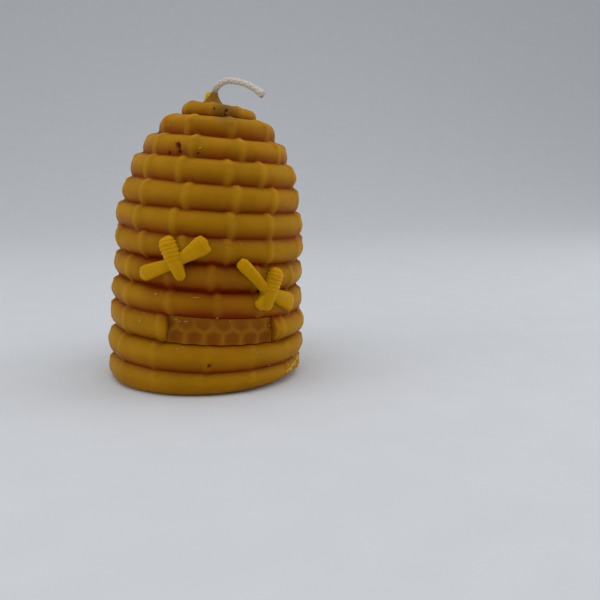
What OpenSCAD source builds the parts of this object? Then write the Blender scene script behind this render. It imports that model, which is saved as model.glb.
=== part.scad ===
// Beeswax candle cast in the shape of a skep, the beehive coiled from straw rope.
// Frame: millimetres, +Z up, origin at the middle of the flat base, front is -Y.
// Azimuths are in degrees from the front (-Y) towards +X.

/* [Wax body] */
// Outside radius of the widest coil
base_r = 32; // [28:0.5:40]
// Rise from one coil to the next up the wall
coil_pitch = 7.9; // [7:0.1:9]
// Rise from one coil to the next over the three coils that close the dome
cap_pitch = 6.4; // [6:0.1:7]
// Radius of the rope's round face
rope_r = 4.4; // [4.1:0.1:5]
// Height of the lowest coil's middle above the base
foot_h = 4.2; // [3:0.1:6]
// How far the candle leans, because its base was poured out of square
lean = 4; // [0:0.5:6]
// Azimuth that the candle leans towards
lean_az = 80; // [0:5:355]

/* [Bindings] */
// Distance along a coil from one binding to the next
binding_step = 15.5; // [12:0.5:24]
// Width of one binding
binding_w = 1.8; // [1:0.1:3]
// How far a binding stands proud of the rope
binding_h = 0.45; // [0.2:0.05:0.8]

/* [Comb strip] */
// Width of one comb cell, between two of its flat sides
cell_w = 5.7; // [5:0.1:6.5]
// Cells side by side in the strip
cells = 6; // [4:1:8]
// How far the strip's face lies inside the coil's outside radius
comb_inset = 2; // [1.5:0.1:3]
// Depth of the cells' pits
cell_depth = 0.8; // [0.4:0.1:1.2]

/* [Bees] */
// Length of a bee from its head to the end of its abdomen
bee_l = 14; // [12:0.5:16]
// Height of each bee's thorax above the base
bee_left_z = 41; // [38:0.5:46]
bee_right_z = 32.5; // [28:0.5:34]
// Azimuth of each bee's thorax
bee_left_az = -28; // [-40:1:-20]
bee_right_az = 28; // [20:1:40]
// Turn of each bee's head away from straight down, clockwise as seen from outside
bee_left_turn = -25; // [-40:1:40]
bee_right_turn = 17; // [-40:1:40]

/* [Wick] */
// Diameter of the braided cotton wick
wick_d = 2; // [1.6:0.1:2.6]
// Lean of the wick, which is threaded a little off the candle's own axis
wick_lean = 3; // [0:0.1:5]
// Length of wick from the base to where it starts to bend
wick_rise = 91.5; // [90:0.1:96]
// Radius and angle of the tight bend above the wax
bend_r = 5.2; // [4:0.1:8]
bend_turn = 90; // [60:1:100]
// Radius and angle of the slow droop after it
droop_r = 16; // [8:0.5:20]
droop_turn = 33; // [20:1:60]
// Length and diameter of the stiff, wax-dipped end
tip_l = 2.5; // [1:0.1:5]
tip_d = 2.3; // [2:0.1:3]

/* [Hidden] */
$fn = 64;

WAX = "#b07c14";
DARK_WAX = "#8a5a10";
BRIGHT_WAX = "#e0b018";
COTTON = "#e6dcc4";

// Outside radius of each coil as a share of base_r, from the base up
COIL_SHARE = [1, 1.015, 1.01, 0.985, 0.965, 0.97, 0.955, 0.905, 0.84, 0.725, 0.59, 0.375];
COILS = len(COIL_SHARE);
CAP_COILS = 3;
// The rope thins where it closes the dome
LAST_ROPE_R = 3.3;
// Coil that the comb strip is let into, counted from the base
COMB_COIL = 2;
// Wax drawn up round the foot of the wick: its radius at the foot, its rise, and its wall at the top
NUB_R = 3.4;
NUB_H = 3;
NUB_WALL = 0.3;
// Depth to which shapes run under the base before they are cut flat
UNDER = 12;
// A width that is wider than the whole candle
CLEAR_W = 4 * base_r;
// Overlap that keeps two shapes of one solid joined
JOIN = 0.4;
// How much fatter than the wick the bead is that starts each bend
BEAD = 0.04;
// Thickness of the comb strip
STRIP_T = 2.4;
// Wall of wax between two cells
CELL_WALL = 0.7;
// A bee's shape, as shares of its length: each part's radius, and its place or length down the body
ABDOMEN_R = 0.165;
ABDOMEN_TOP = 0.43;
ABDOMEN_L = 0.33;
THORAX_R = 0.145;
THORAX_L = 0.2;
HEAD_R = 0.125;
HEAD_DROP = 0.27;
WING_W = 0.32;
WING_T = 0.2;
// Each bee's left and right wing: its length as a share of the bee's, and its sweep towards the tail
LEFT_BEE_WINGS = [[0.74, 0], [0.94, 7]];
RIGHT_BEE_WINGS = [[1.03, 30], [0.77, 8]];
// How far a wing turns back to follow the round wall
WING_WRAP = 10;

function coil_out(k) = base_r * COIL_SHARE[k];
function coil_z(k) = foot_h + k * coil_pitch
    - max(0, k - (COILS - 1 - CAP_COILS)) * (coil_pitch - cap_pitch);
function coil_rope(k) = k == COILS - 1 ? LAST_ROPE_R : rope_r;
// Radius of the circle that the rope's middle follows
function coil_mid(k) = coil_out(k) - coil_rope(k);
function binding_count(k) = round(2 * PI * coil_out(k) / binding_step);
// Each coil's bindings start half a step on from those of the coil below it
function binding_az(k, i) = (i + (k % 2) / 2) * 360 / binding_count(k);

TOP_Z = coil_z(COILS - 1) + LAST_ROPE_R;
CELL_SIDE = cell_w / sqrt(3);
STRIP_H = 2.5 * CELL_SIDE;
STRIP_R = coil_out(COMB_COIL) - comb_inset;
CELL_ANGLE = 2 * asin(cell_w / 2 / STRIP_R);
STRIP_ANGLE = cells * CELL_ANGLE;
STRIP_Z = coil_z(COMB_COIL) - STRIP_H / 2;

// Leans what is built upright on the base's middle towards lean_az
module leaning(angle) {
    rotate([0, 0, lean_az]) rotate([angle, 0, 0]) rotate([0, 0, -lean_az]) children();
}

// Turns what is built at the front to an azimuth
module at_azimuth(az) {
    rotate([0, 0, az]) children();
}

// A sector of a ring about the axis, with its middle at the front
module sector(inner, outer, height, angle) {
    rotate([0, 0, -90 - angle / 2])
        rotate_extrude(angle = angle)
            translate([inner, 0]) square([outer - inner, height]);
}

// Everything below the base
module under_base() {
    translate([0, 0, -UNDER]) cube([CLEAR_W, CLEAR_W, 2 * UNDER], center = true);
}

// Half of the skep's upright section: a core up to each coil's middle, and the ropes' round faces
module half_section() {
    polygon(concat(
        [[0, -UNDER / 2], [coil_mid(0), -UNDER / 2]],
        [for (k = [0 : COILS - 1]) [coil_mid(k), coil_z(k)]],
        [[coil_mid(COILS - 1), TOP_Z], [0, TOP_Z]]
    ));
    for (k = [0 : COILS - 1])
        translate([coil_mid(k), coil_z(k)]) circle(r = coil_rope(k));
}

module coils() {
    rotate_extrude() half_section();
}

// The bindings that hold each coil to the next, as slightly fatter lengths of rope
module bindings() {
    for (k = [0 : COILS - 1]) {
        width_angle = 2 * asin(binding_w / 2 / coil_out(k));
        for (i = [0 : binding_count(k) - 1])
            rotate([0, 0, binding_az(k, i) - 90 - width_angle / 2])
                rotate_extrude(angle = width_angle)
                    translate([coil_mid(k), coil_z(k)])
                        intersection() {
                            circle(r = coil_rope(k) + binding_h);
                            translate([0, -rope_r]) square([2 * rope_r, 2 * rope_r]);
                        }
    }
}

module nub() {
    translate([0, 0, TOP_Z - JOIN])
        cylinder(h = NUB_H + JOIN, r1 = NUB_R, r2 = wick_d / 2 + NUB_WALL);
}

module wax_body() {
    color(WAX)
    difference() {
        union() {
            leaning(lean) {
                coils();
                bindings();
            }
            leaning(wick_lean) nub();
        }
        under_base();
        leaning(wick_lean)
            translate([0, 0, -UNDER]) cylinder(h = wick_rise + UNDER + bend_r, d = wick_d);
        leaning(lean)
            translate([0, 0, STRIP_Z])
                sector(STRIP_R - STRIP_T, base_r + rope_r, STRIP_H, STRIP_ANGLE);
    }
}

// Two rows of six-sided cells, the upper row half a cell to the side of the lower
module comb_pits() {
    for (row = [0 : 1], i = [0 : cells - 1 + row])
        at_azimuth((i - (cells - 1 + row) / 2) * CELL_ANGLE)
            translate([0, -STRIP_R - JOIN, STRIP_Z + (0.5 + 1.5 * row) * CELL_SIDE])
                rotate([-90, 30, 0])
                    cylinder(h = JOIN + cell_depth, r = CELL_SIDE - CELL_WALL / 2, $fn = 6);
}

module comb_strip() {
    color(DARK_WAX)
    leaning(lean)
    difference() {
        translate([0, 0, STRIP_Z])
            sector(STRIP_R - STRIP_T, STRIP_R, STRIP_H, STRIP_ANGLE);
        comb_pits();
    }
}

// A rod with round ends from the origin towards -Z
module lobe(length, r) {
    sphere(r = r);
    translate([0, 0, -length]) cylinder(h = length, r = r);
    translate([0, 0, -length]) sphere(r = r);
}

// A flat wing with a round end, from the thorax outwards along +X
module wing(length, width, thick) {
    rotate([90, 0, 0])
        linear_extrude(thick, center = true) {
            translate([0, -width / 2]) square([length - width / 2, width]);
            translate([length - width / 2, 0]) circle(d = width);
        }
}

// A bee head down on the front of the hive, its thorax at the origin
module bee_shape(wings) {
    translate([0, 0, bee_l * ABDOMEN_TOP]) lobe(bee_l * ABDOMEN_L, bee_l * ABDOMEN_R);
    lobe(bee_l * THORAX_L, bee_l * THORAX_R);
    translate([0, 0, -bee_l * HEAD_DROP]) sphere(r = bee_l * HEAD_R);
    for (side = [0, 1])
        mirror([1 - side, 0, 0])
            rotate([0, -wings[side][1], WING_WRAP])
                wing(bee_l * wings[side][0], bee_l * WING_W, bee_l * WING_T);
}

// A bee raised from the wall, without the part of it that lies in the coils
module bee(z, az, turn, wings) {
    color(BRIGHT_WAX)
    leaning(lean)
    difference() {
        at_azimuth(az)
            translate([0, -base_r, z]) rotate([0, turn, 0]) bee_shape(wings);
        coils();
    }
}

module bee_left() {
    bee(bee_left_z, bee_left_az, bee_left_turn, LEFT_BEE_WINGS);
}

module bee_right() {
    bee(bee_right_z, bee_right_az, bee_right_turn, RIGHT_BEE_WINGS);
}

// A bent length of wick from the origin, heading up and turning towards -Y.
// The small bead at its start joins it to the length before it.
module bent(radius, turn) {
    sphere(d = wick_d + BEAD);
    rotate([90, 0, 90])
        translate([-radius, 0, 0])
            rotate_extrude(angle = turn) translate([radius, 0]) circle(d = wick_d);
}

// Moves what follows a bend to the end of it
module after_bend(radius, turn) {
    translate([0, -radius * (1 - cos(turn)), radius * sin(turn)]) rotate([turn, 0, 0]) children();
}

module wick() {
    color(COTTON)
    difference() {
        rotate([0, 0, lean_az]) rotate([wick_lean, 0, 0]) {
            translate([0, 0, -UNDER / 2]) cylinder(h = wick_rise + UNDER / 2, d = wick_d);
            translate([0, 0, wick_rise]) {
                bent(bend_r, bend_turn);
                after_bend(bend_r, bend_turn) {
                    bent(droop_r, droop_turn);
                    after_bend(droop_r, droop_turn)
                        translate([0, 0, -JOIN]) cylinder(h = tip_l + JOIN, d = tip_d);
                }
            }
        }
        under_base();
    }
}

wax_body();
comb_strip();
bee_left();
bee_right();
wick();
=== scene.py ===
"""Looks of a beeswax skep candle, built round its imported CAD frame.

Lengths are in millimetres until a mesh is made. A place on the hive is (rho, az, z): the distance from
the candle's own axis, the azimuth in radians from the front (-Y) towards +X, and the height up the axis.
"""

import math

import bpy
import numpy as np
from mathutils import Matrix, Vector, noise


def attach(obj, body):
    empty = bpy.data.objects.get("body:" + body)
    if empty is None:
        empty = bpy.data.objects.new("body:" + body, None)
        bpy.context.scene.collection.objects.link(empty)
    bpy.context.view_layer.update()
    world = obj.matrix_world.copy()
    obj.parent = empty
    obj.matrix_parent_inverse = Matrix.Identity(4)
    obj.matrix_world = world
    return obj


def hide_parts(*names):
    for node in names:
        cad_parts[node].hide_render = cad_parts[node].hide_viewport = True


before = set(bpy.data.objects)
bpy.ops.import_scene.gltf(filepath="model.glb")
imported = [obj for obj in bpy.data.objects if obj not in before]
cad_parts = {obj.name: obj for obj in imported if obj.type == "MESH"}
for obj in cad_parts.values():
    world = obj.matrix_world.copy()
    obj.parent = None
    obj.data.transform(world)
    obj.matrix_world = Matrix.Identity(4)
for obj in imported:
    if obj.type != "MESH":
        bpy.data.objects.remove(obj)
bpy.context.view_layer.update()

MM = 0.001
# Further than anything on the candle
FAR = 1e9
SCENE = bpy.context.scene

# ---------------------------------------------------------------- sizes, as in the CAD model

COIL_PITCH = 7.9
CAP_PITCH = 6.4
CAP_COILS = 3
FOOT_H = 4.2
ROPE_R = 4.4
LAST_ROPE_R = 3.3
LEAN = math.radians(4)
LEAN_AZ = math.radians(80)
COMB_COIL = 2
CELL_W = 5.7
CELLS = 6
COMB_INSET = 2.0
WICK_D = 2.0
WICK_LEAN = math.radians(3)
WICK_RISE = 91.5
BEND_R, BEND_TURN = 5.2, math.radians(90)
DROOP_R, DROOP_TURN = 16.0, math.radians(33)
TIP_L = 2.5

# Each coil from the base up: its outside radius, how far it drifts towards the lean, and how far it rises
# off an even pitch
COILS = [
    (32.3, 0, -0.5),
    (32.6, -0.1, -0.7),
    (32.4, 0.4, 0.1),
    (31.5, -0.6, -0.1),
    (30.9, -0.4, 0.6),
    (31.1, -0.5, 1.2),
    (30.6, -0.6, 0.4),
    (29.0, -0.8, 0.3),
    (26.8, 0, -0.4),
    (23.2, -0.1, -0.3),
    (18.9, 0.2, -0.2),
    (12.0, 0.2, -0.2),
]
LAST = len(COILS) - 1
COIL_OUT, COIL_DRIFT, COIL_RISE = (np.array(column) for column in zip(*COILS))
COIL_Z = FOOT_H + COIL_PITCH * np.arange(len(COILS)) + COIL_RISE
COIL_Z -= (COIL_PITCH - CAP_PITCH) * np.maximum(0, np.arange(len(COILS)) - (LAST - CAP_COILS))
TOP_Z = COIL_Z[LAST] + LAST_ROPE_R

CELL_SIDE = CELL_W / math.sqrt(3)
STRIP_H = 2.5 * CELL_SIDE
BASE_R = 32.0
STRIP_R = BASE_R - COMB_INSET
STRIP_HALF = CELLS * math.asin(CELL_W / 2 / STRIP_R)
STRIP_Z = COIL_Z[COMB_COIL] - STRIP_H / 2

# Where the candle is looked at from: azimuth in degrees, height and distance in millimetres, then how far
# the camera dips and how far it turns aside, in degrees
EYE_AZ = -7.4
EYE_HEIGHT = 70.1
EYE_DISTANCE = 250.0
EYE_DOWN = 10.46
EYE_ASIDE = 7.49
LENS = 44.5

# ---------------------------------------------------------------- camera


def make_camera():
    data = bpy.data.cameras.new("camera")
    data.lens = LENS
    data.clip_start = 0.01
    data.clip_end = 10
    camera = bpy.data.objects.new("camera", data)
    az = math.radians(EYE_AZ)
    camera.location = Vector((math.sin(az) * EYE_DISTANCE, -math.cos(az) * EYE_DISTANCE, EYE_HEIGHT)) * MM
    camera.rotation_euler = (math.radians(90 - EYE_DOWN), 0, math.radians(EYE_AZ - EYE_ASIDE))
    SCENE.collection.objects.link(camera)
    SCENE.camera = camera


make_camera()

# ---------------------------------------------------------------- mesh helpers


def smoothstep(x, low, high):
    t = np.clip((x - low) / (high - low), 0, 1)
    return t * t * (3 - 2 * t)


def turn_from(az, at):
    """The turn from one azimuth to another the short way round, in radians."""
    return (az - at + math.pi) % (2 * math.pi) - math.pi


def ripple(az, seed, lobes):
    """A smooth wave round the hive, between about -1 and 1, with the given numbers of lobes."""
    rng = np.random.default_rng(seed)
    return sum(rng.uniform(0.5, 1) * np.sin(n * az + rng.uniform(0, 2 * math.pi)) for n in lobes) / len(lobes)


def lumps(points, grain, seed):
    """Smooth noise at each point, between about -1 and 1, with lumps about grain across."""
    shift = Vector((seed * 17.3, seed * 5.1, seed * 9.7))
    flat = points.reshape(-1, 3) / grain
    values = [noise.noise(Vector(p) + shift) for p in flat]
    return np.array(values).reshape(points.shape[:-1])


def new_object(name, mesh, slot, *nodes):
    """Adds a piece that rides on the candle and stands for CAD nodes. The slot is not used."""
    obj = bpy.data.objects.new(name, mesh)
    SCENE.collection.objects.link(obj)
    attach(obj, "root")
    if nodes:
        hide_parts(*nodes)
    return obj


def mesh_of(name, points, faces, values=None):
    """A smooth mesh from points in millimetres, with named numbers at its points."""
    mesh = bpy.data.meshes.new(name)
    faces = faces if isinstance(faces, list) else faces.tolist()
    mesh.from_pydata((np.asarray(points).reshape(-1, 3) * MM).tolist(), [], faces)
    for key, numbers in (values or {}).items():
        layer = mesh.attributes.new(key, "FLOAT", "POINT")
        layer.data.foreach_set("value", np.asarray(numbers, dtype=np.float32).ravel())
    mesh.shade_smooth()
    return mesh


def grid_faces(rows, columns, close_rows, close_columns, first=0):
    """Quads over a grid of points, whose rows run upwards and whose columns run counter-clockwise."""
    index = first + np.arange(rows * columns).reshape(rows, columns)
    if close_rows:
        index = np.vstack([index, index[:1]])
    if close_columns:
        index = np.hstack([index, index[:, :1]])
    corners = [index[:-1, :-1], index[:-1, 1:], index[1:, 1:], index[1:, :-1]]
    return np.stack(corners, -1).reshape(-1, 4)


# ---------------------------------------------------------------- the leaning hive

# Heights between which the coils turn from level to square with the leaning axis, and their turn there
LEVEL_Z, SQUARE_Z = -6.0, 26.0
COIL_TURN = math.radians(4.5)


def leaned(rho, az, z):
    """World points for places on the hive. At the base the coils lie level, higher up they lean."""
    tilt = COIL_TURN * smoothstep(z, LEVEL_Z, SQUARE_Z)
    shift = z * math.sin(LEAN) + np.interp(z, COIL_Z, COIL_DRIFT)
    along = rho * np.cos(az - LEAN_AZ)
    across = rho * np.sin(az - LEAN_AZ)
    out = shift + along * np.cos(tilt)
    x = out * math.sin(LEAN_AZ) + across * math.cos(LEAN_AZ)
    y = -out * math.cos(LEAN_AZ) + across * math.sin(LEAN_AZ)
    up = z * math.cos(LEAN) - along * np.sin(tilt)
    return np.stack(np.broadcast_arrays(x, y, up), -1)


# Bindings on the front of each coil, in degrees of azimuth. The rest of each coil is bound evenly.
FRONT_BINDINGS = [
    [-64, -38, -11, 18, 47],
    [-66, -39, -8, 17, 44],
    [-63, -36, 38, 66],
    [-62, -30, -3, 22],
    [-63, -32, -7, 20],
    [-50, -24, 1, 28],
    [-57, -30, 3, 28],
    [-55, -24, 6, 33],
    [-60, -32, 0, 24],
    [-62, -27, 11, 49],
    [-72, -38, 4, 46],
    [-68, -19, 26],
]
BINDING_STEP = 15.5
# How far, in degrees, a binding on the back may stray from its even place
BINDING_STRAY = 3
BINDING_HALF = 1.15
# How far the bindings stand out of each coil: the lowest coils show theirs least
BINDING_H = [0.14, 0.18, 0.34, 0.36, 0.4, 0.42, 0.42, 0.42, 0.44, 0.44, 0.4, 0.3]
# Each binding ends in a soft knob just under the groove above its coil: how far it stands out, how far
# below the groove it is, and how high
KNOB_H = 0.75
KNOB_DOWN = 0.8
KNOB_HALF = 1.0
# How much of a groove's painted shade goes where a binding crosses it: the standing-out binding is painted
# lighter
BINDING_PALE = 0.4


def bindings(k):
    """Azimuths of all of a coil's bindings, in radians."""
    front = FRONT_BINDINGS[k]
    gap = 360 - (front[-1] - front[0])
    step = math.degrees(BINDING_STEP / COIL_OUT[k])
    count = round(gap / step)
    rng = np.random.default_rng(100 + k)
    back = [front[-1] + gap * i / count + rng.uniform(-BINDING_STRAY, BINDING_STRAY) for i in range(1, count)]
    return np.radians(front + back)


def binding_band(k, az):
    """1 on the middle of each of a coil's bindings, falling to 0 beside them."""
    nearest = np.full(az.shape, FAR)
    for a in bindings(k):
        nearest = np.minimum(nearest, np.abs(turn_from(az, a)) * COIL_OUT[k])
    return 1 / (1 + (nearest / BINDING_HALF) ** 4)


def bump(az, at, width):
    """A smooth bump round an azimuth, with both in degrees."""
    return np.exp(-((turn_from(az, math.radians(at)) / math.radians(width)) ** 2))


# The dome's last coil slumps towards the right: how much thinner and lower it gets there, and how much of
# that it has all round
SLUMP_AZ = 85
SLUMP_ALL = 0.35
SLUMP_ROPE = 0.9
SLUMP_Z = 0.9


# How far each coil wanders round the hive: in its outside radius, its rope's thickness and its height
WANDER_OUT, WANDER_ROPE, WANDER_Z = 0.22, 0.1, 0.14


def coil(k, az):
    """Radius and height of the middle of a coil's rope, the rope's radius, and its bindings."""
    out = COIL_OUT[k] + WANDER_OUT * ripple(az, k, (2, 3, 5, 9))
    rope = ROPE_R if k < LAST else LAST_ROPE_R
    rope = rope + WANDER_ROPE * ripple(az, 20 + k, (3, 7, 13))
    z = COIL_Z[k] + WANDER_Z * ripple(az, 40 + k, (2, 5))
    if k == LAST:
        slump = SLUMP_ALL + (1 - SLUMP_ALL) * (0.5 + 0.5 * np.cos(az - math.radians(SLUMP_AZ)))
        rope = rope - SLUMP_ROPE * slump
        z = z - SLUMP_Z * slump
    band = binding_band(k, az)
    return out - rope, z, rope + BINDING_H[k] * band, band


def groove(low, high):
    """Where the round faces of two coils meet, as (rho, z)."""
    gap_r, gap_z = high[0] - low[0], high[1] - low[1]
    gap = np.hypot(gap_r, gap_z)
    along = (gap**2 + low[2] ** 2 - high[2] ** 2) / (2 * gap)
    out = np.sqrt(np.maximum(low[2] ** 2 - along**2, 0.05))
    return low[0] + (gap_r * along + gap_z * out) / gap, low[1] + (gap_z * along - gap_r * out) / gap


# ---------------------------------------------------------------- wax body

COLUMNS = 356
COIL_ROWS = 19
FOOT_ROWS = 9
# Half of the sharp step at each end of the comb strip's recess
STEP_HALF = math.radians(0.12)
# The last coil's round face ends this far up from level, a little past its crest
CREST_TURN = math.radians(95)
# How many times the sharp grooves are smoothed
GROOVE_SOFTENED = 2
# Radius of the edge that the candle stands on. On the left it is wider, on the right it is bevelled in:
# how far, at which azimuth, and over how many degrees.
FOOT_R = 28.3
FOOT_WIDER, FOOT_WIDER_AZ, FOOT_WIDER_WIDTH = 1.6, -62, 45
FOOT_BEVEL, FOOT_BEVEL_AZ, FOOT_BEVEL_WIDTH = 1.2, 66, 50
# How round the foot's section is: 2 is a quarter ellipse and 1 a straight bevel
FOOT_ROUND, BEVEL_ROUND = 1.9, 1.15
# The underside touches the table this far inside the foot's edge, and is hollow by this much in the middle
CONTACT_IN, DISH_H = 0.8, 0.9
# The wax is torn and lumpy low down round this azimuth, in degrees, over this width. The lumps stand out by
# up to TORN_OUT and shift up or down by TORN_UP, and the torn part lies TORN_IN back. It fades out between
# two heights.
TORN_AZ, TORN_WIDTH = 66, 30
TORN_OUT, TORN_UP, TORN_IN = 0.55, 0.5, 0.1
TORN_FADE = (5, 8)
# How much painted shade, like a groove's, the foot has at its very edge, and where the first coil is widest
FOOT_SHADE, FOOT_SHADE_TOP = 0.6, 0.2
# A groove's painted shade runs down on to the coil above it gently, and up on to the coil below by each
# coil's
# own power: the lower the power, the further. The coils whose upper sides catch less light from above have
# the lowest powers.
SHADE_UP = 1.25
SHADE_DOWN = [4, 4, 3, 2, 2.2, 3, 4, 5, 6, 6, 6, 6]
# Patches of painted shade on the front: azimuth in degrees, height, radius, and how dark from 0 to 1
SHADED_PATCHES = [
    (-1, 30.5, 15, 0.42),
    (-40, 37, 9, 0.4),
]
# Wax drawn up round the wick's foot: its radius at the bottom, its rise, its wall round the wick at the top,
# and how sharply it narrows. The flat round it sinks by TOP_DIP.
NUB_R = 4.1
NUB_H = 3.0
NUB_WALL = 0.2
NUB_WAIST = 1.7
TOP_DIP = 0.3
BORE_R = WICK_D / 2
# The skin's unevenness from the mould: broad and fine lumps, how high and how far across
SKIN_LUMPS = [(0.16, 9), (0.07, 2.6)]
# How far behind the comb strip's face the body's wax lies, and how far up and down that recess goes from
# the coil's middle, as a share of the pitch
COMB_BEHIND = 0.9
COMB_REACH = 0.55
# Bubbles and dents: azimuth in degrees, height, radius and depth. Then how ragged their rims are, and between
# which shares of their depth they get painted shade.
PITS = [
    (-38, 74.6, 0.95, 0.9),
    (-36.8, 73.0, 0.8, 0.6),
    (-45.5, 72.3, 0.6, 0.5),
    (-22, 72.8, 0.45, 0.35),
    (2, 86.6, 0.5, 0.5),
    (1, 85.3, 0.4, 0.4),
    (-16, 86.8, 0.4, 0.2),
    (-6.7, 10.1, 0.5, 0.4),
]
PIT_RAGGED = 0.7
PIT_DARK = (0.25, 0.7)
# Soot stains the front of the last coil round this azimuth in degrees and this height, this far out. Its
# stain round the wick fades outwards over SOOT_FADE.
SOOT_AZ, SOOT_Z, SOOT_R = 2, 86.2, 4.2
SOOT_FADE = 4
# Over these distances beyond the nub and the bore the wax moves from the hive's axis to the wick's. At the
# top that starts NUB_BELOW under the last coil's crest.
NUB_BLEND, BORE_BLEND = 4, 2
NUB_BELOW = 6


def body_columns():
    """Azimuths of the body's columns, with a close pair at each end of the comb strip's recess."""
    even = np.linspace(-math.pi, math.pi, COLUMNS, endpoint=False)
    ends = [s * STRIP_HALF + t for s in (-1, 1) for t in (-STEP_HALF, STEP_HALF)]
    clear = [a for a in even if min(abs(a - e) for e in ends) > 3 * STEP_HALF]
    return np.array(sorted(clear + ends))


def foot_rows(az, first):
    """From the foot's edge up to the widest part of the lowest coil, as (rho, z) rows."""
    mid, z_wide, rope, _ = first
    wide = mid + rope
    bevel = bump(az, FOOT_BEVEL_AZ, FOOT_BEVEL_WIDTH)
    edge = FOOT_R + FOOT_WIDER * bump(az, FOOT_WIDER_AZ, FOOT_WIDER_WIDTH) - FOOT_BEVEL * bevel
    power = FOOT_ROUND + (BEVEL_ROUND - FOOT_ROUND) * bevel
    rows = []
    for i in range(FOOT_ROWS):
        turn = math.pi / 2 * (1 - i / FOOT_ROWS)
        rho = edge + (wide - edge) * np.cos(turn) ** (2 / power)
        rows.append((rho, z_wide * (1 - np.sin(turn) ** (2 / power))))
    return rows


def under_rows(edge):
    """From the wick's bore across the slightly dished underside to just inside the foot's edge radius."""
    contact = edge - CONTACT_IN
    rows = []
    for share in (0, 0.05, 0.15, 0.3, 0.45, 0.6, 0.75, 0.87, 0.95, 1):
        rho = BORE_R + (contact - BORE_R) * share
        rows.append((rho, DISH_H * (1 - share**2) + 0 * rho))
    return rows


def wall_rows(az, coils):
    """Up the coils' round faces from the lowest coil's widest part to the crest of the last.

    Gives the (rho, z) rows, how much painted shade the wax has and how much it is bound along each, and for
    each groove its height with the bindings that end under it."""
    rows, shade, band, valleys = [], [], [], []
    for k in range(len(COILS)):
        mid, z, rope, bound = coils[k]
        start = np.zeros_like(az)
        if k:
            g = groove(coils[k - 1], coils[k])
            start = np.arctan2(g[1] - z, g[0] - mid)
        end = np.full_like(az, CREST_TURN)
        if k < LAST:
            g = groove(coils[k], coils[k + 1])
            end = np.arctan2(g[1] - z, g[0] - mid)
            valleys.append((g[1], bound))
        count = COIL_ROWS if k else COIL_ROWS // 2
        for i in range(count):
            t = i / count
            turn = start + (end - start) * t
            rows.append((mid + rope * np.cos(turn), z + rope * np.sin(turn)))
            face = 2 * t - 1 if k else FOOT_SHADE_TOP * (t - 1) + t
            shade.append(np.full_like(az, face ** SHADE_DOWN[k] if face > 0 else (-face) ** SHADE_UP))
            band.append(bound * BINDING_H[k] / max(BINDING_H))
    return rows, shade, band, valleys


def top_rows(crest):
    """From the last coil's crest in to the wick, over the flat top and the drawn-up nub.

    The nub stands on the wick's own line, so its rows move off the hive's axis as they close in."""
    rho_crest, z_crest = crest
    rows = []
    for share in (0.25, 0.5, 0.75, 1):
        rows.append((rho_crest + (NUB_R - rho_crest) * share, z_crest - TOP_DIP * math.sin(share * math.pi)))
    for share in (0.1, 0.22, 0.35, 0.5, 0.65, 0.8, 1):
        waist = (NUB_R - BORE_R - NUB_WALL) * (1 - share) ** NUB_WAIST
        rows.append((BORE_R + NUB_WALL + waist + 0 * rho_crest, z_crest + (TOP_Z + NUB_H - z_crest) * share))
    rows.append((BORE_R + 0 * rho_crest, TOP_Z + NUB_H + 0.05 + 0 * rho_crest))
    return rows


def smoothed(values, times, first, last):
    """Rounds the sharp grooves between rows first and last."""
    for _ in range(times):
        middle = (values[first - 1 : last - 1] + 2 * values[first:last] + values[first + 1 : last + 1]) / 4
        values[first:last] = middle
    return values


def wick_offset(z):
    """How far the hive's own axis lies beyond the wick at a height, towards the lean."""
    return z * math.sin(LEAN) + np.interp(z, COIL_Z, COIL_DRIFT) - z * math.sin(WICK_LEAN)


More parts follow.
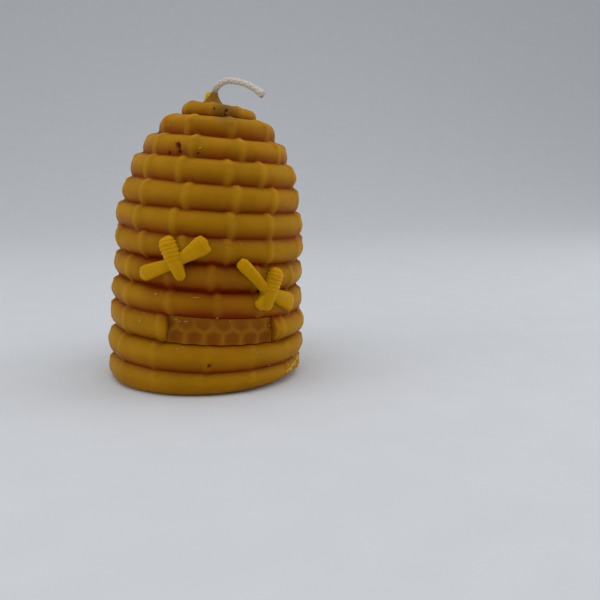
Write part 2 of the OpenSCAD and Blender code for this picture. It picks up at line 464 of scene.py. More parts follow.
def make_body():
    az = body_columns()
    coils = [coil(k, az) for k in range(len(COILS))]
    foot = foot_rows(az, coils[0])
    under = under_rows(foot[0][0])
    wall, shade, band, valleys = wall_rows(az, coils)
    top = top_rows(wall[-1])
    rows = under + foot + wall + top
    rho = np.array([np.broadcast_to(r, az.shape) for r, _ in rows])
    z = np.array([np.broadcast_to(h, az.shape) for _, h in rows])
    foot_at = len(under)
    wall_at = foot_at + len(foot)
    top_at = wall_at + len(wall)
    smoothed(rho, GROOVE_SOFTENED, wall_at, top_at)
    smoothed(z, GROOVE_SOFTENED, wall_at, top_at)

    # Painted shade in the grooves and on the foot, kept as the groove attribute
    hollow = np.zeros_like(rho)
    hollow[wall_at:top_at] = shade
    hollow[foot_at:wall_at] = np.linspace(FOOT_SHADE, FOOT_SHADE_TOP, FOOT_ROWS)[:, None] ** SHADE_UP
    bound = np.zeros_like(rho)
    bound[wall_at:top_at] = band
    flat = np.stack([rho * np.sin(az), -rho * np.cos(az), z], -1)
    outside = np.zeros_like(rho)
    outside[foot_at:top_at] = 1
    for height, bridge in valleys:
        knob = bridge * np.exp(-(((z - height + KNOB_DOWN) / KNOB_HALF) ** 2))
        rho = rho + outside * KNOB_H * knob
    # Less painted shade where a binding crosses a groove: painted light on the standing-out binding
    hollow = hollow * (1 - BINDING_PALE * bound)
    # Broad patches of painted shade
    for patch_az, patch_z, radius, patch_shade in SHADED_PATCHES:
        away = np.hypot((az - math.radians(patch_az)) * rho, z - patch_z)
        hollow = hollow + outside * patch_shade * np.exp(-((away / radius) ** 3))
    uneven = sum(height * lumps(flat, grain, seed) for seed, (height, grain) in enumerate(SKIN_LUMPS, 1))
    rho = rho + outside * uneven

    in_comb = (np.abs(az) < STRIP_HALF)[None, :] & (np.abs(z - COIL_Z[COMB_COIL]) < COIL_PITCH * COMB_REACH)
    rho = np.where(in_comb & (outside > 0), np.minimum(rho, STRIP_R - COMB_BEHIND), rho)
    # The body's wax behind the comb strip gets the recess's full painted shade
    hollow = np.where(in_comb & (outside > 0), 1, hollow)

    low = outside * (1 - smoothstep(z, *TORN_FADE)) * bump(az, TORN_AZ, TORN_WIDTH)
    rho = rho + low * (TORN_OUT * lumps(flat, 1.7, 3) - TORN_IN)
    z = z + low * smoothstep(z, 0.3, 2) * TORN_UP * lumps(flat, 1.9, 4)

    pit = np.zeros_like(rho)
    for pit_az, pit_z, pit_r, depth in PITS:
        away = np.hypot(turn_from(az, math.radians(pit_az)) * rho, z - pit_z)
        away = away * (1 + PIT_RAGGED * lumps(flat, 0.9, 7))
        dent = np.exp(-((away / pit_r) ** 2)) * outside
        rho = rho - depth * dent
        pit = np.maximum(pit, smoothstep(dent, *PIT_DARK))

    points = leaned(rho, az, z)
    at_top, at_base = z > TOP_Z - NUB_BELOW, z < BORE_BLEND
    closing = np.clip((NUB_R + NUB_BLEND - rho) / NUB_BLEND, 0, 1) * at_top * wick_offset(z)
    closing = closing + np.clip((BORE_R + BORE_BLEND - rho) / BORE_BLEND, 0, 1) * at_base * wick_offset(z)
    points[..., 0] -= closing * math.sin(LEAN_AZ)
    points[..., 1] += closing * math.cos(LEAN_AZ)
    points[..., 2] = np.maximum(points[..., 2], 0)
    stain = np.exp(-((np.maximum(rho - WICK_D, 0) / SOOT_FADE) ** 2)) * smoothstep(z, TOP_Z - 3, TOP_Z - 1)
    beside = np.hypot((az - math.radians(SOOT_AZ)) * rho, (z - SOOT_Z) * 1.1)
    stain = np.maximum(stain, np.exp(-((beside / SOOT_R) ** 3)) * outside)
    faces = grid_faces(*rho.shape, close_rows=True, close_columns=True)
    values = {"groove": hollow, "pit": pit, "stain": stain, "raised": bound * outside}
    return new_object("wax_body_cast", mesh_of("wax_body_cast", points, faces, values), "beeswax", "wax_body")


# ---------------------------------------------------------------- comb strip

# Spacing of the strip's grid, how far its slab reaches in behind its face, and its skin's unevenness
COMB_STEP = 0.17
SLAB_T = 1.6
COMB_LUMPS = 0.08
# The ridges between two cells: their height and half width
RIDGE_H = 0.5
RIDGE_HALF = 0.9
# The pattern fades to this much of itself at the strip's top edge
RIDGE_FADE = 0.35


def cell_edge(x, z):
    """Distance from each place on the strip to the nearest wall between two comb cells."""
    to_centre = np.full(x.shape, FAR)
    second = np.full(x.shape, FAR)
    for row in range(-1, 4):
        for i in range(-1, CELLS + 2):
            cx = (i - (CELLS - 1 + row % 2) / 2) * CELL_W
            cz = (0.5 + 1.5 * row) * CELL_SIDE
            d = np.hypot(x - cx, z - cz)
            second = np.minimum(second, np.maximum(to_centre, d))
            to_centre = np.minimum(to_centre, d)
    return (second - to_centre) / 2


def make_comb():
    width = 2 * STRIP_HALF * STRIP_R
    xs = np.linspace(-width / 2, width / 2, round(width / COMB_STEP))
    zs = np.linspace(0, STRIP_H, round(STRIP_H / COMB_STEP))
    x, z = np.meshgrid(xs, zs)
    wall = np.exp(-((cell_edge(x, z) / RIDGE_HALF) ** 2))
    wall = 0.5 + (wall - 0.5) * (1 - (1 - RIDGE_FADE) * smoothstep(z, 0.5 * STRIP_H, STRIP_H))
    rho = STRIP_R - RIDGE_H * (1 - wall)
    flat = np.stack([x, rho, z], -1)
    rho = rho + COMB_LUMPS * lumps(flat, 1.6, 6)
    inner = np.full_like(rho[:1], STRIP_R - SLAB_T)
    rho = np.vstack([inner, rho, inner])
    z = np.vstack([z[:1], z, z[-1:]]) + STRIP_Z
    az = np.vstack([x[:1], x, x[-1:]]) / STRIP_R
    wall = np.vstack([wall[:1], wall, wall[-1:]])
    points = leaned(rho, az, z)
    faces = grid_faces(*rho.shape, close_rows=True, close_columns=False).tolist()
    rows, columns = rho.shape
    faces.append([r * columns for r in range(rows)])
    faces.append([(rows - 1 - r) * columns + columns - 1 for r in range(rows)])
    # Painted shade in the cells between the ridges
    mesh = mesh_of("comb_panel", points, faces, {"groove": 1 - wall})
    return new_object("comb_panel", mesh, "dark_beeswax", "comb_strip")


# ---------------------------------------------------------------- bees

# A bee's half width at lengths down its body from the tail: it is widest a third of the way
BODY_AT = [0, 0.35, 1.1, 2.4, 4.2, 6.2, 8.0, 9.6, 11.2, 12.6, 13.5, 13.9]
BODY_HALF = [0, 1.3, 2.0, 2.45, 2.55, 2.4, 2.15, 2.0, 1.85, 1.65, 1.1, 0]
RIB_STEP = 1.2
RIB_H = 0.17
RIB_FROM, RIB_TO = 0.8, 8.4
# How rough the bees' cast skin is, as a share of the distance from the thorax
BEE_LUMPS = 0.035
# Where the wings' roots are down the body, how far the body's middle stands off the wings' and those off
# the coils' crests, how much thicker the body is than wide, and how much deeper all is towards the coils
ROOT_AT = 8.3
BODY_OFF = 0.9
WING_OFF = 0.25
BODY_DEEP = 1.08
BACK_DEEP = 1.8
# Side of the cubes that the bees' skin is remeshed from
BEE_VOXEL = 0.2
# How many times the remeshed skin is smoothed
SOFTENED = 5
# A wing widens from its root to its blunt end. At shares of its length: how far its half width has come from
# the root's to the end's, and what share of that it has. Then half its thickness, and how square its section
# is: 1 is an ellipse and 0 a rectangle.
WING_AT = [0, 0.2, 0.8, 0.93, 1]
WING_WAY = [0, 0.1, 1, 1, 1]
WING_FULL = [1, 1, 1, 0.92, 0.6]
WING_THICK = 1.6
WING_SQUARE = 0.75
# Each bee's azimuth and turn in degrees, its height, how stout it is, and for each wing its side, length,
# sweep to the tail in degrees, and half widths at its root and end. The bee on the right has a lump of wax
# beside its head, made as a third wing.
BEES = {
    "bee_left": {
        "az": -26.8,
        "z": 40.6,
        "turn": -24,
        "stout": 1.0,
        "wings": [(-1, 13.0, 1, 1.8, 2.4), (1, 11.4, 13, 1.6, 2.9)],
    },
    "bee_right": {
        "az": 27.4,
        "z": 32.5,
        "turn": 17,
        "stout": 0.93,
        "wings": [(-1, 14.4, 26, 1.45, 2.0), (1, 12.4, -3, 1.9, 2.8), (-1, 6.0, -66, 1.5, 1.7)],
    },
}


def body_shape(stout):
    """A bee's body as rings of points. x is to the right, y outwards and z up, the thorax at the origin."""
    tail = np.linspace(0, 1.1, 8)
    middle = np.arange(1.2, 12.6, 0.15)
    head = np.linspace(12.6, BODY_AT[-1], 10)
    down = np.concatenate([tail, middle, head])
    half = stout * np.interp(down, BODY_AT, BODY_HALF)
    ribbed = smoothstep(down, RIB_FROM, RIB_FROM + 0.6) * (1 - smoothstep(down, RIB_TO - 1, RIB_TO))
    half = half + ribbed * RIB_H * np.cos(2 * math.pi * down / RIB_STEP)
    around = np.linspace(0, 2 * math.pi, 40, endpoint=False)
    x = half[:, None] * np.cos(around)
    y = BODY_DEEP * half[:, None] * np.sin(around) + BODY_OFF
    z = np.broadcast_to((ROOT_AT - down)[:, None], x.shape)
    return np.stack([x, y, z], -1)[::-1]


def wing_shape(length, root, end):
    """A paddle wing along +z from the origin, a slab with soft edges, as rings of points."""
    blunt = 0.9 + 0.1 * np.sin(np.linspace(0.1, 1, 12) * math.pi / 2)
    shares = np.concatenate([np.linspace(0, 0.9, 30), blunt])
    way = np.interp(shares, WING_AT, WING_WAY)
    widths = (root + (end - root) * way) * np.interp(shares, WING_AT, WING_FULL)
    thin = np.interp(shares, [0, 0.88, 1], [1, 1, 0.5])
    around = np.linspace(0, 2 * math.pi, 36, endpoint=False)
    c, s = np.cos(around), np.sin(around)
    x = widths[:, None] * np.sign(c) * np.abs(c) ** WING_SQUARE
    y = WING_THICK * thin[:, None] * np.sign(s) * np.abs(s) ** WING_SQUARE
    z = np.broadcast_to((shares * length)[:, None], x.shape)
    return np.stack([x, y, z], -1)


def turned(points, angle):
    """Turns points clockwise as seen from outside, about the outward direction."""
    c, s = math.cos(angle), math.sin(angle)
    x = points[..., 0] * c + points[..., 2] * s
    z = -points[..., 0] * s + points[..., 2] * c
    return np.stack([x, points[..., 1], z], -1)


def joined(name, shapes, voxel):
    """One closed skin round overlapping shapes, as arrays of points and faces, in millimetres."""
    points, faces, first = [], [], 0
    for shape in shapes:
        rows, columns = shape.shape[:2]
        points.append(shape.reshape(-1, 3))
        faces += grid_faces(rows, columns, False, True, first).tolist()
        faces.append(list(range(first + columns - 1, first - 1, -1)))
        faces.append(list(range(first + (rows - 1) * columns, first + rows * columns)))
        first += rows * columns
    mesh = bpy.data.meshes.new(name + "_parts")
    mesh.from_pydata(np.vstack(points).tolist(), [], faces)
    obj = bpy.data.objects.new(name + "_parts", mesh)
    SCENE.collection.objects.link(obj)
    remesh = obj.modifiers.new("skin", "REMESH")
    remesh.mode = "VOXEL"
    remesh.voxel_size = voxel
    soft = obj.modifiers.new("soft", "SMOOTH")
    soft.factor = 0.5
    soft.iterations = SOFTENED
    ready = obj.evaluated_get(bpy.context.evaluated_depsgraph_get())
    skin = ready.to_mesh()
    out = np.empty(len(skin.vertices) * 3)
    skin.vertices.foreach_get("co", out)
    quads = [tuple(p.vertices) for p in skin.polygons]
    ready.to_mesh_clear()
    bpy.data.objects.remove(obj)
    bpy.data.meshes.remove(mesh)
    return out.reshape(-1, 3), quads


def make_bee(name):
    bee = BEES[name]
    shapes = [body_shape(bee["stout"])]
    for hand, length, sweep, root, end in bee["wings"]:
        shapes.append(turned(wing_shape(length, root, end), hand * (math.pi / 2 - math.radians(sweep))))
    points, faces = joined(name, shapes, BEE_VOXEL)
    points = points * (1 + BEE_LUMPS * lumps(points, 1.7, 31))[:, None]
    points = turned(points, math.radians(bee["turn"]))
    out = np.where(points[:, 1] < 0, points[:, 1] * BACK_DEEP, points[:, 1])
    height = bee["z"] + points[:, 2]
    crest = np.interp(height, COIL_Z, COIL_OUT)
    points = leaned(crest + WING_OFF + out, math.radians(bee["az"]) + points[:, 0] / crest, height)
    return new_object(name + "_figure", mesh_of(name + "_figure", points, faces), "bright_beeswax", name)


# ---------------------------------------------------------------- crumbs, flake and flash

# Pale crumbs and scrapes on the front, one of them a painted highlight along a crack: azimuth in degrees,
# height, half length and half height
CRUMBS = [
    (-22.4, 77.3, 0.4, 0.14),
    (-20.3, 74.4, 0.5, 0.3),
    (14.4, 76.9, 0.3, 0.2),
    (-38.6, 30.4, 0.4, 0.3),
    # A thin line of painted highlight along a crack
    (-15.3, 30.6, 1.5, 0.09),
    (-27.3, 23.2, 0.7, 0.18),
    (-25.3, 22.6, 0.6, 0.16),
    (-21.5, 22.8, 0.8, 0.14),
    (-25.1, 14.6, 0.6, 0.14),
    (-22.6, 15.0, 0.5, 0.12),
    (-48.7, 21.3, 0.25, 0.5),
    (-48.2, 23.6, 0.9, 0.1),
    (-3.1, 24.7, 0.3, 0.2),
    (4.1, 23.8, 0.2, 0.15),
    (30.9, 21.5, 0.3, 0.3),
    (19.4, 13.5, 0.2, 0.2),
    (24.3, 12.5, 0.2, 0.16),
    (30.9, 8.1, 0.25, 0.2),
    (51.4, 9.5, 0.4, 0.35),
]
# How many fine crumbs are strewn over the rest of the outside
STREWN = 40
# Flash left by the mould's split: azimuths in degrees and heights of its ends, how far it stands out, and
# half its thickness. It is ragged and the wax there isn't cut away.
FLASH_AZ = (40, 94)
FLASH_Z = (3.6, 8.2)
FLASH_OUT, FLASH_HALF = 1.2, 0.45
# How far its root is sunk in the coil, and how much its line wanders up and down
FLASH_ROOT = 1.6
FLASH_WANDER = 0.35
# How many crumbs cling along it
FLASH_CRUMBS = 22


def surface(az, z):
    """Distance of the coils' skin from the axis at one azimuth and height."""
    at = np.array([az])
    best = 0.0
    for k in range(len(COILS)):
        mid, z_mid, rope, _ = coil(k, at)
        inside = rope[0] ** 2 - (z - z_mid[0]) ** 2
        if inside > 0:
            best = max(best, mid[0] + math.sqrt(inside))
    return best


CRUMB_ROWS, CRUMB_COLUMNS = 5, 9


def crumb(centre, az, length, height, rng):
    """The points of a small angular lump, long round the hive: a rough ball, each point pulled in or out."""
    ahead = np.array([math.cos(az), math.sin(az), 0])
    out = np.array([math.sin(az), -math.cos(az), 0])
    points = []
    for i in range(CRUMB_ROWS):
        up = math.pi * (i + 0.5) / CRUMB_ROWS - math.pi / 2
        for j in range(CRUMB_COLUMNS):
            turn = 2 * math.pi * j / CRUMB_COLUMNS
            flat = math.cos(up) * (length * math.cos(turn) * ahead + height * math.sin(turn) * out)
            points.append(centre + rng.uniform(0.5, 1.15) * (flat + np.array([0, 0, height * math.sin(up)])))
    return points


def make_crumbs():
    rng = np.random.default_rng(5)
    places = list(CRUMBS)
    for _ in range(FLASH_CRUMBS):
        share = rng.uniform(0.15, 0.85)
        z = FLASH_Z[0] + (FLASH_Z[1] - FLASH_Z[0]) * share + rng.uniform(-0.8, 1.6)
        size = rng.uniform(0.15, 0.42)
        az = FLASH_AZ[0] + (FLASH_AZ[1] - FLASH_AZ[0]) * share
        places.append((az, z, size * rng.uniform(1, 1.8), size))
    for _ in range(STREWN):
        size = rng.uniform(0.08, 0.2)
        places.append((rng.uniform(-180, 180), rng.uniform(3, TOP_Z - 8), size * rng.uniform(1, 2), size))
    points, faces = [], []
    last_ring = (CRUMB_ROWS - 1) * CRUMB_COLUMNS
    for az, z, length, height in places:
        turn = math.radians(az)
        rho = surface(turn, z)
        # In front of the comb strip a crumb lies on its sunk face
        if abs(turn) < STRIP_HALF and abs(z - COIL_Z[COMB_COIL]) < STRIP_H * 0.4:
            rho = STRIP_R - RIDGE_H / 2
        first = len(points)
        points += crumb(leaned(rho + 0.2 * height, turn, z), turn, length, height, rng)
        faces += grid_faces(CRUMB_ROWS, CRUMB_COLUMNS, False, True, first).tolist()
        faces.append([first + CRUMB_COLUMNS - 1 - j for j in range(CRUMB_COLUMNS)])
        faces.append([first + last_ring + j for j in range(CRUMB_COLUMNS)])
    return new_object("wax_crumbs", mesh_of("wax_crumbs", points, faces), "beeswax")


def make_flash():
    """The thin ragged fin of wax at the lower right, from the foot up on to the next coil.

    Each ring of points runs along it. Its crest stands out by ragged amounts that fade at both ends."""
    az = np.radians(np.linspace(*FLASH_AZ, 120))
    share = np.linspace(0, 1, len(az))
    z = FLASH_Z[0] + (FLASH_Z[1] - FLASH_Z[0]) * share**0.8
    skin = np.array([surface(a, h) for a, h in zip(az, z)])
    line = np.stack([30 * az, z, 0 * z], -1)
    ragged = 0.55 + 0.5 * lumps(line, 1.6, 11) + 0.3 * lumps(line, 0.7, 12)
    fade = np.sin(math.pi * (0.02 + 0.96 * share)) ** 0.5
    out = FLASH_OUT * np.clip(ragged, 0, 1.3) * fade - 0.25
    around = np.linspace(0, 2 * math.pi, 14, endpoint=False)
    rows = []
    for turn in around:
        reach = skin - FLASH_ROOT + (out + FLASH_ROOT) * (0.5 + 0.5 * math.cos(turn))
        height = z - 0.3 * out + FLASH_HALF * math.sin(turn) + FLASH_WANDER * lumps(line, 1.2, 13)
        rows.append(leaned(reach, az, np.maximum(height, 0.1)))
    points = np.array(rows)
    faces = grid_faces(len(around), len(az), True, False).tolist()
    faces.append([r * len(az) for r in range(len(around))][::-1])
    faces.append([r * len(az) + len(az) - 1 for r in range(len(around))])
    return new_object("mould_flash", mesh_of("mould_flash", points, faces), "bright_beeswax")


# The flake stands on the nub's left: how far from the wick, at which azimuth in degrees, how high, and half
# its size along each axis
FLAKE_OUT, FLAKE_AZ, FLAKE_Z = 1.8, -92, 90.9
FLAKE_HALF = (1.25, 0.5, 1.6)


def make_flake():
    """A broken chip of thin wax beside the wick's foot."""
    rows, columns = 16, 24
    up = (np.arange(rows) + 0.5) / rows * math.pi - math.pi / 2
    turn = np.linspace(0, 2 * math.pi, columns, endpoint=False)
    x = np.cos(up)[:, None] * np.cos(turn)
    y = np.cos(up)[:, None] * np.sin(turn)
    z = np.broadcast_to(np.sin(up)[:, None], x.shape)
    ball = np.stack([x, y, z], -1)
    ball = ball * (1 + 0.55 * lumps(ball, 0.55, 21) + 0.2 * lumps(ball, 0.25, 22))[..., None]
    lean = math.sin(WICK_LEAN) * FLAKE_Z
    az = math.radians(FLAKE_AZ)
    x_centre = lean * math.sin(LEAN_AZ) + FLAKE_OUT * math.sin(az)
    y_centre = -lean * math.cos(LEAN_AZ) - FLAKE_OUT * math.cos(az)
    centre = np.array([x_centre, y_centre, FLAKE_Z])
    points = centre + ball * np.array(FLAKE_HALF)
    faces = grid_faces(rows, columns, False, True).tolist()
    faces.append([columns - 1 - j for j in range(columns)])
    faces.append([(rows - 1) * columns + j for j in range(columns)])
    return new_object("wax_flake", mesh_of("wax_flake", points, faces), "bright_beeswax")


# ---------------------------------------------------------------- wick

# Strands of the braid round one straight core strand, each strand's radius and sides, how far its middle
# circles from the wick's, how much wick each turn takes, and how far it goes over and under the others
STRANDS = 8
STRAND_R = 0.53
STRAND_SIDES = 8
BRAID_R = 0.5
BRAID_TURN = 7.5
WEAVE = 0.03
WICK_STEP = 0.32
# The wick starts this high, so that its strands' ends stay clear of the table
WICK_FROM = 0.15
# The cut end has been pinched into a soft swelling: by what share, how far back from the end, and how long
TIP_SPREAD, TIP_BACK, TIP_HALF = 0.45, 1.3, 1.3
# Wax soaks the cotton from just above the nub, fading over this length, and again at the cut end
SOAK_FROM, SOAK_FADE = 0.3, 3.2
TIP_SOAK, TIP_SOAK_FADE = 0.5, 0.9


def wick_path():
    """Points along the wick's middle with its angle from upright at each, and the plane that it bends in."""
    towards = Vector((math.sin(LEAN_AZ), -math.cos(LEAN_AZ), 0))
    up = Vector((0, 0, 1))
    stretches = [(WICK_RISE, 0), (BEND_R * BEND_TURN, BEND_R), (DROOP_R * DROOP_TURN, DROOP_R), (TIP_L, 0)]
    angle = WICK_LEAN
    place = Vector((0, 0, WICK_FROM))
    points = []
    for length, radius in stretches:
        steps = round(length / WICK_STEP)
        for _ in range(steps):
            points.append((place.copy(), angle))
            if radius:
                angle += length / steps / radius
            place += (towards * math.sin(angle) + up * math.cos(angle)) * (length / steps)
    points.append((place.copy(), angle))
    return points, towards, up


def make_wick():
    path, towards, up = wick_path()
    sideways = towards.cross(up)
    points, faces, soak = [], [], []
    total = len(path)
    for strand in range(STRANDS + 1):
        braid = 0 if strand == STRANDS else BRAID_R
        hand = 1 if strand % 2 else -1
        phase = (strand // 2) * math.pi / 2 + (math.pi / 4 if strand % 2 else 0)
        first = len(points)
        for i, (place, angle) in enumerate(path):
            s = i * WICK_STEP
            around = phase + hand * 2 * math.pi * s / BRAID_TURN
            weave = WEAVE * math.sin(4 * around + (math.pi if strand % 2 else 0))
            to_end = (total - 1 - i) * WICK_STEP
            spread = 1 + TIP_SPREAD * math.exp(-(((to_end - TIP_BACK) / TIP_HALF) ** 2))
            wet = math.exp(-max(0, s - WICK_RISE - SOAK_FROM) / SOAK_FADE)
            wet += TIP_SOAK * math.exp(-((to_end / TIP_SOAK_FADE) ** 2))
            n1 = towards * math.cos(angle) - up * math.sin(angle)
            radial = n1 * math.cos(around) + sideways * math.sin(around)
            ahead = towards * math.sin(angle) + up * math.cos(angle)
            other = ahead.cross(radial)
            centre = place + radial * (braid + weave) * spread
            thick = STRAND_R * (0.7 + 0.3 * spread) * min(1, 0.6 + to_end)
            for j in range(STRAND_SIDES):
                turn = 2 * math.pi * j / STRAND_SIDES
                points.append(centre + (radial * math.cos(turn) + other * math.sin(turn)) * thick)
                soak.append(wet)
        faces += grid_faces(total, STRAND_SIDES, False, True, first).tolist()
        faces.append([first + STRAND_SIDES - 1 - j for j in range(STRAND_SIDES)])
        faces.append([first + (total - 1) * STRAND_SIDES + j for j in range(STRAND_SIDES)])
    mesh = bpy.data.meshes.new("wick_braid")
    mesh.from_pydata([tuple(p * MM) for p in points], [], faces)
    layer = mesh.attributes.new("soak", "FLOAT", "POINT")
    layer.data.foreach_set("value", soak)
    mesh.shade_smooth()
    return new_object("wick_braid", mesh, "cotton", "wick")


# ---------------------------------------------------------------- materials


def linear(code):
    """An sRGB hex colour as linear RGBA."""
    channels = [int(code[i : i + 2], 16) / 255 for i in (1, 3, 5)]
    return [c / 12.92 if c <= 0.04045 else ((c + 0.055) / 1.055) ** 2.4 for c in channels] + [1]


def add(tree, kind, settings=None, **sockets):
    """Adds a shader node. A socket's value is a number, a colour, or another node's output to link."""
    made = tree.nodes.new("ShaderNode" + kind)
    for key, value in (settings or {}).items():
        setattr(made, key, value)
    for key, value in sockets.items():
        name = key.replace("_", " ")
        socket = made.inputs[int(name[1:])] if name[1:].isdigit() else made.inputs[name]
        if isinstance(value, bpy.types.NodeSocket):
            tree.links.new(value, socket)
        else:
            socket.default_value = value
    return made


# Shader noise has about one lump to each 1/scale metres: clouds in the pour 9 mm across, the fine grain of
# the mould's rubber, drawn at 1.1 mm, coarser than it is, so that it shows, cotton fibres in tufts of about
# 0.4 mm, also drawn coarser than they are, and mottle in the card 17 mm across
CLOUD_SCALE = 1 / 0.009
GRAIN_SCALE = 1 / 0.0011
FIBRE_SCALE = 2600
MOTTLE_SCALE = 60
# Painted light on a binding's crest, wax where soot has settled, and painted shade in a pit. Then how far a
# binding's crest goes towards its painted light.
LIT_BINDING_WAX, SOOTY_WAX, PIT_SHADE = "#c4961c", "#7a5822", "#561400"
BINDING_LIGHT = 0.3
# Settings of each node that mixes two colours
MIX_COLOURS = {"data_type": "RGBA"}


def new_material(name):
    material = bpy.data.materials.new(name)
    material.use_nodes = True
    tree = material.node_tree
    tree.nodes.clear()
    return material, tree


def beeswax(name, crest, hollow, glow):
    """Filtered beeswax cast in a rubber mould: satin with hardly a highlight. Light goes a few millimetres in
    and comes out redder. The darker red of the hollows is also painted shade, mixed in from the second colour
    by the groove attribute, and the lighter yellow of thin or standing-out wax is painted light, given in
    lighter copies."""
    material, tree = new_material(name)
    where = add(tree, "TexCoord").outputs["Object"]
    hollowed = add(tree, "Attribute", {"attribute_name": "groove"}).outputs["Fac"]
    stained = add(tree, "Attribute", {"attribute_name": "stain"}).outputs["Fac"]
    pitted = add(tree, "Attribute", {"attribute_name": "pit"}).outputs["Fac"]
    raised = add(tree, "Attribute", {"attribute_name": "raised"}).outputs["Fac"]
    # Painted light: binding crests move towards a lighter wax colour
    bar = add(tree, "Math", {"operation": "MULTIPLY"}, _0=raised, _1=BINDING_LIGHT).outputs[0]
    clear = add(tree, "Mix", MIX_COLOURS, _0=bar, _6=linear(crest), _7=linear(LIT_BINDING_WAX)).outputs[2]
    # Painted shade: the groove attribute mixes in the second colour
    base = add(tree, "Mix", MIX_COLOURS, _0=hollowed, _6=clear, _7=linear(hollow))
    clouds = add(tree, "TexNoise", Vector=where, Scale=CLOUD_SCALE, Detail=3, Roughness=0.55).outputs["Fac"]
    cloudy = add(tree, "MapRange", Value=clouds, From_Min=0.3, From_Max=0.7, To_Min=0.9, To_Max=1.08)
    cast = add(tree, "VectorMath", {"operation": "SCALE"}, _0=base.outputs[2], _3=cloudy.outputs[0])
    sooty = add(tree, "MapRange", Value=clouds, From_Min=0.35, From_Max=0.65, To_Min=0.55, To_Max=1.0)
    soot = add(tree, "Math", {"operation": "MULTIPLY"}, _0=stained, _1=sooty.outputs[0])
    dulled = add(tree, "Mix", MIX_COLOURS, _0=soot.outputs[0], _6=cast.outputs[0], _7=linear(SOOTY_WAX))
    # Painted shade in the pits
    colour = add(tree, "Mix", MIX_COLOURS, _0=pitted, _6=dulled.outputs[2], _7=linear(PIT_SHADE))
    grain = add(tree, "TexNoise", Vector=where, Scale=GRAIN_SCALE, Detail=4, Roughness=0.6).outputs["Fac"]
    rough = add(tree, "MapRange", Value=grain, From_Min=0.3, From_Max=0.7, To_Min=0.4, To_Max=0.56)
    relief = add(tree, "Bump", Height=grain, Strength=0.2, Distance=0.00012)
    shader = add(tree, "BsdfPrincipled", Base_Color=colour.outputs[2], Roughness=rough.outputs[0])
    tree.links.new(relief.outputs[0], shader.inputs["Normal"])
    shader.inputs["IOR"].default_value = 1.44
    shader.inputs["Specular IOR Level"].default_value = 0.07
    shader.inputs["Subsurface Weight"].default_value = glow
    shader.inputs["Subsurface Radius"].default_value = (1.0, 0.32, 0.06)
    shader.inputs["Subsurface Scale"].default_value = 0.0028
    add(tree, "OutputMaterial", Surface=shader.outputs[0])
    return material


def cotton():
    """Undyed cotton yarn, braided: matt and cream with a soft sheen, yellowed where it has soaked up wax."""
    material, tree = new_material("braided_cotton")
    where = add(tree, "TexCoord").outputs["Object"]
    soaked = add(tree, "Attribute", {"attribute_name": "soak"}).outputs["Fac"]
    fibres = add(tree, "TexNoise", Vector=where, Scale=FIBRE_SCALE, Detail=3, Roughness=0.7).outputs["Fac"]
    yarn = add(tree, "Mix", MIX_COLOURS, _0=fibres, _6=linear("#cdbfae"), _7=linear("#f2e9dc"))
    base = add(tree, "Mix", MIX_COLOURS, _0=soaked, _6=yarn.outputs[2], _7=linear("#8a7040"))
    relief = add(tree, "Bump", Height=fibres, Strength=0.4, Distance=0.0001)
    shader = add(tree, "BsdfPrincipled", Base_Color=base.outputs[2], Roughness=0.85, Normal=relief.outputs[0])
    shader.inputs["Sheen Weight"].default_value = 0.25
    shader.inputs["Subsurface Weight"].default_value = 0.15
    shader.inputs["Subsurface Scale"].default_value = 0.0006
    add(tree, "OutputMaterial", Surface=shader.outputs[0])
    return material


def paper():
    """Uncoated pale card for the table and the sweep behind it: matt, with hardly any mottle."""
    material, tree = new_material("pale_card")
    where = add(tree, "TexCoord").outputs["Object"]
    fibre = add(tree, "TexNoise", Vector=where, Scale=MOTTLE_SCALE, Detail=3).outputs["Fac"]
    tone = add(tree, "Mix", MIX_COLOURS, _0=fibre, _6=linear("#d9dbde"), _7=linear("#dfe1e4"))
    shader = add(tree, "BsdfPrincipled", Base_Color=tone.outputs[2], Roughness=0.9)
    add(tree, "OutputMaterial", Surface=shader.outputs[0])
    return material


# ---------------------------------------------------------------- stage and light

# The table starts to curve up this far behind the candle, to this radius, in millimetres. Then how far it
# reaches in front, how high its wall goes, and half its width.
SWEEP_FROM, SWEEP_R = 480.0, 1300.0
SWEEP_FRONT, SWEEP_TOP, SWEEP_HALF = -1400.0, 1500.0, 2000.0
SWEEP_STEPS = 24


def make_stage(material):
    """A table that sweeps up into a wall well behind the candle."""
    section = [(SWEEP_FRONT, 0.0)]
    for i in range(SWEEP_STEPS + 1):
        turn = math.pi / 2 * i / SWEEP_STEPS
        section.append((SWEEP_FROM + SWEEP_R * math.sin(turn), SWEEP_R * (1 - math.cos(turn))))
    section.append((SWEEP_FROM + SWEEP_R, SWEEP_TOP))
    az = math.radians(EYE_AZ)
    points = []
    for y, z in section:
        for x in (-SWEEP_HALF, SWEEP_HALF):
            points.append((x * math.cos(az) - y * math.sin(az), x * math.sin(az) + y * math.cos(az), z))
    mesh = mesh_of("sweep", points, grid_faces(len(section), 2, False, False))
    mesh.materials.append(material)
    sweep = bpy.data.objects.new("sweep", mesh)
    SCENE.collection.objects.link(sweep)


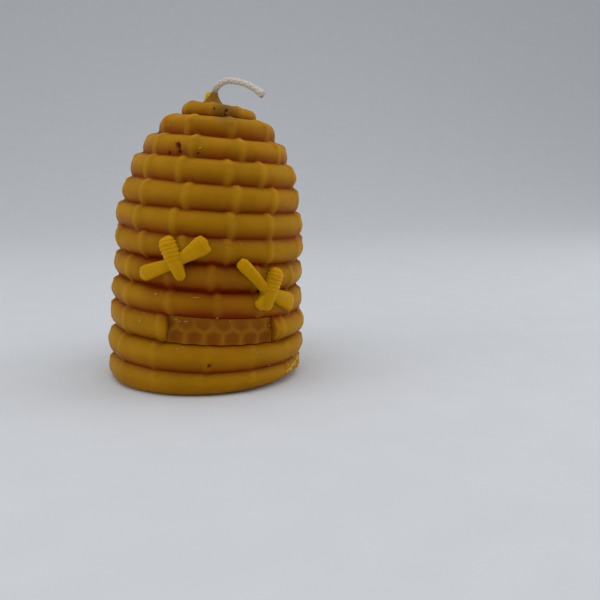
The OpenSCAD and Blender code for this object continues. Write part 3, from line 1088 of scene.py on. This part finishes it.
# The room and the soft boxes are a cool daylight. Each box: its place and side in millimetres, and its power
# in watts. All are aimed at the candle's axis at AIM_Z.
ROOM_COLOUR, ROOM_STRENGTH = (0.93, 0.96, 1.0, 1), 0.4
BOX_COLOUR = (0.97, 0.985, 1)
BOXES = {
    "top_box": ((0, -160, 1000), 1400, 5.4),
    "left_box": ((-600, -80, 260), 420, 0.75),
    "right_box": ((600, -80, 260), 420, 0.85),
}
AIM_Z = 45


def area_light(name, place, size, power):
    """A soft box aimed at the middle of the candle, at a place in millimetres."""
    data = bpy.data.lights.new(name, "AREA")
    data.shape = "SQUARE"
    data.size = size * MM
    data.energy = power
    data.color = BOX_COLOUR
    lamp = bpy.data.objects.new(name, data)
    lamp.location = Vector(place) * MM
    lamp.rotation_euler = (Vector((0, 0, AIM_Z)) * MM - lamp.location).to_track_quat("-Z", "Y").to_euler()
    SCENE.collection.objects.link(lamp)


def make_light():
    world = bpy.data.worlds.new("soft_room")
    SCENE.world = world
    world.use_nodes = True
    back = world.node_tree.nodes["Background"]
    back.inputs["Color"].default_value = ROOM_COLOUR
    back.inputs["Strength"].default_value = ROOM_STRENGTH
    for name, (place, size, power) in BOXES.items():
        area_light(name, place, size, power)
    SCENE.view_settings.view_transform = "Standard"


# ---------------------------------------------------------------- putting it together

# The body's second colour is the painted shade in its grooves
wax = beeswax("cast_beeswax", "#aa7805", "#7e2802", 0.7)
# A darker copy of the wax for the sunk comb strip: painted shade, its second colour painted shade in the
# cells
shaded_comb_wax = beeswax("sunk_beeswax", "#9a640e", "#8a4c04", 0.5)
# A lighter, yellower copy of the wax for the bees: painted light
lit_bee_wax = beeswax("raised_beeswax", "#c49103", "#c49103", 0.7)
# A lighter copy of the wax for the thin flake: painted light
lit_thin_wax = beeswax("thin_beeswax", "#d9bd2a", "#d9bd2a", 0.25)
# A pale copy for the crumbs and the flash: partly paler wax, partly painted light on the thin flash and crack
# line
pale_and_lit_wax = beeswax("pale_and_lit_beeswax", "#cda448", "#cda448", 0.3)
make_body().data.materials.append(wax)
make_comb().data.materials.append(shaded_comb_wax)
for bee in BEES:
    make_bee(bee).data.materials.append(lit_bee_wax)
make_flake().data.materials.append(lit_thin_wax)
make_flash().data.materials.append(pale_and_lit_wax)
make_crumbs().data.materials.append(pale_and_lit_wax)
make_wick().data.materials.append(cotton())
make_stage(paper())
make_light()
